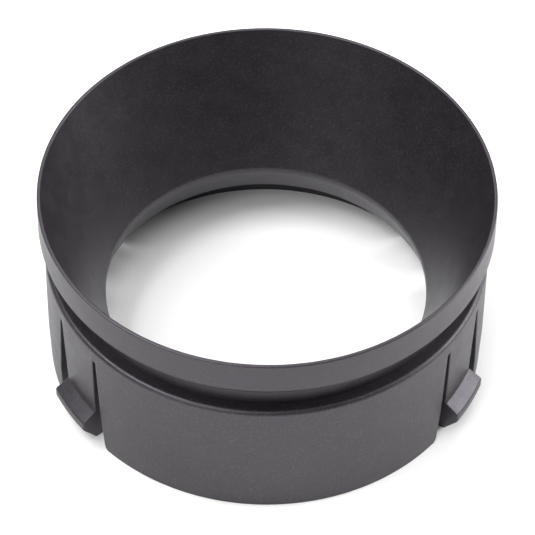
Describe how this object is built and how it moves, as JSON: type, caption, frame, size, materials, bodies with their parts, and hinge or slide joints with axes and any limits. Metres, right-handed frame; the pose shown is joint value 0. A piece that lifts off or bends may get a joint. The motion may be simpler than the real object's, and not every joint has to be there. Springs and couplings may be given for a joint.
{
  "type": "snoot",
  "caption": "Round clip-on snoot: a conical glare funnel with a wide flared mouth and a rim band, seated in a straight skirt ring with flexing snap fingers.",
  "frame": {"origin": "on the snoot's axis, in the plane of the skirt's foot that it stands on", "axes": "+Z along the axis towards the wide mouth; +Y to the back, between the two rear snap fingers; +X to the right, between the two right-hand fingers"},
  "size_m": [0.09, 0.09, 0.0438],
  "materials": {
    "funnel_plastic": "black injection-moulded plastic with a fine satin grain",
    "ring_plastic": "black injection-moulded plastic with a fine satin grain"
  },
  "bodies": {
    "snoot_body": {"glare_funnel": "funnel_plastic", "mounting_ring": "ring_plastic"},
    "front_left_finger": {"snap_finger_front_left": "ring_plastic"},
    "front_right_finger": {"snap_finger_front_right": "ring_plastic"},
    "rear_left_finger": {"snap_finger_rear_left": "ring_plastic"},
    "rear_right_finger": {"snap_finger_rear_right": "ring_plastic"}
  },
  "joints": [
    {"name": "front_left_finger_flex", "type": "hinge", "parent": "snoot_body", "child": "front_left_finger", "pos_m": [-0.03715, -0.02145, 0.0249], "axis": [0.5, -0.866, 0], "range_deg": [0, 9], "stiffness_Nm_per_rad": 1.2},
    {"name": "front_right_finger_flex", "type": "hinge", "parent": "snoot_body", "child": "front_right_finger", "pos_m": [0.03715, -0.02145, 0.0249], "axis": [0.5, 0.866, 0], "range_deg": [0, 9], "stiffness_Nm_per_rad": 1.2},
    {"name": "rear_left_finger_flex", "type": "hinge", "parent": "snoot_body", "child": "rear_left_finger", "pos_m": [-0.03715, 0.02145, 0.0249], "axis": [-0.5, -0.866, 0], "range_deg": [0, 9], "stiffness_Nm_per_rad": 1.2},
    {"name": "rear_right_finger_flex", "type": "hinge", "parent": "snoot_body", "child": "rear_right_finger", "pos_m": [0.03715, 0.02145, 0.0249], "axis": [-0.5, 0.866, 0], "range_deg": [0, 9], "stiffness_Nm_per_rad": 1.2}
  ]
}
